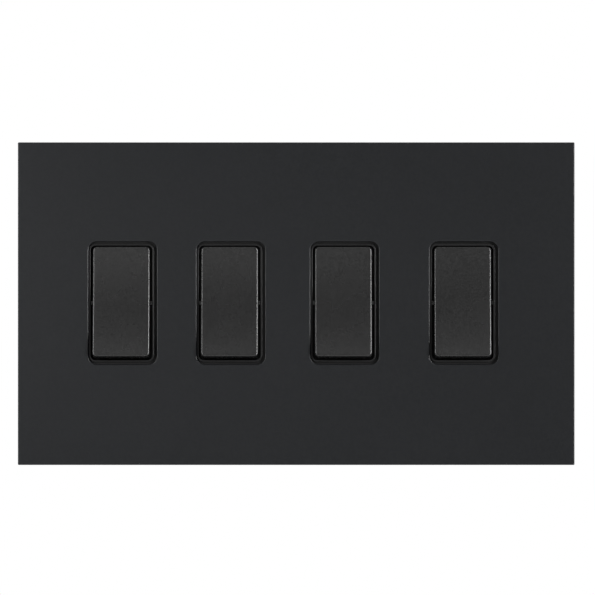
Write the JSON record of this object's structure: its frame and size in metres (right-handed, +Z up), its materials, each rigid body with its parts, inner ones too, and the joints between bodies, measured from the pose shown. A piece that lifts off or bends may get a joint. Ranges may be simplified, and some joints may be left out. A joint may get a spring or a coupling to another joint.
{
  "type": "light switch",
  "caption": "Flat matt black wall plate with a row of tall rocker switches; each rocker's sprung plunger flips a seesaw contact arm to switch its circuit.",
  "frame": {"origin": "midway between the two fixing holes, in the plane of the wall", "axes": "+X to the right as seen from the front, +Y into the wall, +Z up"},
  "size_m": [0.1474, 0.0286, 0.0856],
  "materials": {
    "plate_paint": "matt black powder coat",
    "black_moulding": "satin moulded",
    "rocker_plastic": "finely textured moulded",
    "natural_plastic": "smooth moulded",
    "zinc_steel": "zinc plated",
    "spring_steel": "drawn wire",
    "brass": "plain",
    "silver": "matt silver alloy"
  },
  "bodies": {
    "switch": {"front_plate": "plate_paint", "plate_carrier": "black_moulding", "mounting_frame": "zinc_steel", "earth_terminal": "brass", "housing_1": "black_moulding", "base_1": "black_moulding", "fixed_contacts_1": "silver", "common_terminal_1": "brass", "l1_terminal_1": "brass", "l2_terminal_1": "brass", "housing_2": "black_moulding", "base_2": "black_moulding", "fixed_contacts_2": "silver", "common_terminal_2": "brass", "l1_terminal_2": "brass", "l2_terminal_2": "brass", "housing_3": "black_moulding", "base_3": "black_moulding", "fixed_contacts_3": "silver", "common_terminal_3": "brass", "l1_terminal_3": "brass", "l2_terminal_3": "brass", "housing_4": "black_moulding", "base_4": "black_moulding", "fixed_contacts_4": "silver", "common_terminal_4": "brass", "l1_terminal_4": "brass", "l2_terminal_4": "brass"},
    "rocker_1": {"rocker_1": "rocker_plastic", "plunger_spring_1": "spring_steel"},
    "plunger_1": {"plunger_1": "natural_plastic"},
    "contact_arm_1": {"contact_arm_1": "brass", "moving_contacts_1": "silver"},
    "rocker_2": {"rocker_2": "rocker_plastic", "plunger_spring_2": "spring_steel"},
    "plunger_2": {"plunger_2": "natural_plastic"},
    "contact_arm_2": {"contact_arm_2": "brass", "moving_contacts_2": "silver"},
    "rocker_3": {"rocker_3": "rocker_plastic", "plunger_spring_3": "spring_steel"},
    "plunger_3": {"plunger_3": "natural_plastic"},
    "contact_arm_3": {"contact_arm_3": "brass", "moving_contacts_3": "silver"},
    "rocker_4": {"rocker_4": "rocker_plastic", "plunger_spring_4": "spring_steel"},
    "plunger_4": {"plunger_4": "natural_plastic"},
    "contact_arm_4": {"contact_arm_4": "brass", "moving_contacts_4": "silver"}
  },
  "joints": [
    {"name": "rocker_1_tip", "type": "hinge", "parent": "switch", "child": "rocker_1", "pos_m": [-0.04634, -0.0021, 0.0002], "axis": [1, 0, 0], "range_deg": [0, 11]},
    {"name": "contact_arm_1_flip", "type": "hinge", "parent": "switch", "child": "contact_arm_1", "pos_m": [-0.04634, 0.00915, 0.0002], "axis": [1, 0, 0], "range_deg": [-20, 0]},
    {"name": "plunger_1_slide", "type": "slide", "parent": "rocker_1", "child": "plunger_1", "axis": [0, -0.9954, 0.0958], "range_m": [0, 0.001], "stiffness_N_per_m": 400, "deforming": ["plunger_spring_1"]},
    {"name": "rocker_2_tip", "type": "hinge", "parent": "switch", "child": "rocker_2", "pos_m": [-0.01764, -0.0021, 0.0002], "axis": [1, 0, 0], "range_deg": [0, 11]},
    {"name": "contact_arm_2_flip", "type": "hinge", "parent": "switch", "child": "contact_arm_2", "pos_m": [-0.01764, 0.00915, 0.0002], "axis": [1, 0, 0], "range_deg": [-20, 0]},
    {"name": "plunger_2_slide", "type": "slide", "parent": "rocker_2", "child": "plunger_2", "axis": [0, -0.9954, 0.0958], "range_m": [0, 0.001], "stiffness_N_per_m": 400, "deforming": ["plunger_spring_2"]},
    {"name": "rocker_3_tip", "type": "hinge", "parent": "switch", "child": "rocker_3", "pos_m": [0.01251, -0.0021, 0.0002], "axis": [1, 0, 0], "range_deg": [0, 11]},
    {"name": "contact_arm_3_flip", "type": "hinge", "parent": "switch", "child": "contact_arm_3", "pos_m": [0.01251, 0.00915, 0.0002], "axis": [1, 0, 0], "range_deg": [-20, 0]},
    {"name": "plunger_3_slide", "type": "slide", "parent": "rocker_3", "child": "plunger_3", "axis": [0, -0.9954, 0.0958], "range_m": [0, 0.001], "stiffness_N_per_m": 400, "deforming": ["plunger_spring_3"]},
    {"name": "rocker_4_tip", "type": "hinge", "parent": "switch", "child": "rocker_4", "pos_m": [0.04411, -0.0021, 0.0002], "axis": [1, 0, 0], "range_deg": [0, 11]},
    {"name": "contact_arm_4_flip", "type": "hinge", "parent": "switch", "child": "contact_arm_4", "pos_m": [0.04411, 0.00915, 0.0002], "axis": [1, 0, 0], "range_deg": [-20, 0]},
    {"name": "plunger_4_slide", "type": "slide", "parent": "rocker_4", "child": "plunger_4", "axis": [0, -0.9954, 0.0958], "range_m": [0, 0.001], "stiffness_N_per_m": 400, "deforming": ["plunger_spring_4"]}
  ],
  "couplings": [
    {"joint": "contact_arm_1_flip", "follows": "rocker_1_tip", "ratio": -1.818},
    {"joint": "contact_arm_2_flip", "follows": "rocker_2_tip", "ratio": -1.818},
    {"joint": "contact_arm_3_flip", "follows": "rocker_3_tip", "ratio": -1.818},
    {"joint": "contact_arm_4_flip", "follows": "rocker_4_tip", "ratio": -1.818}
  ]
}
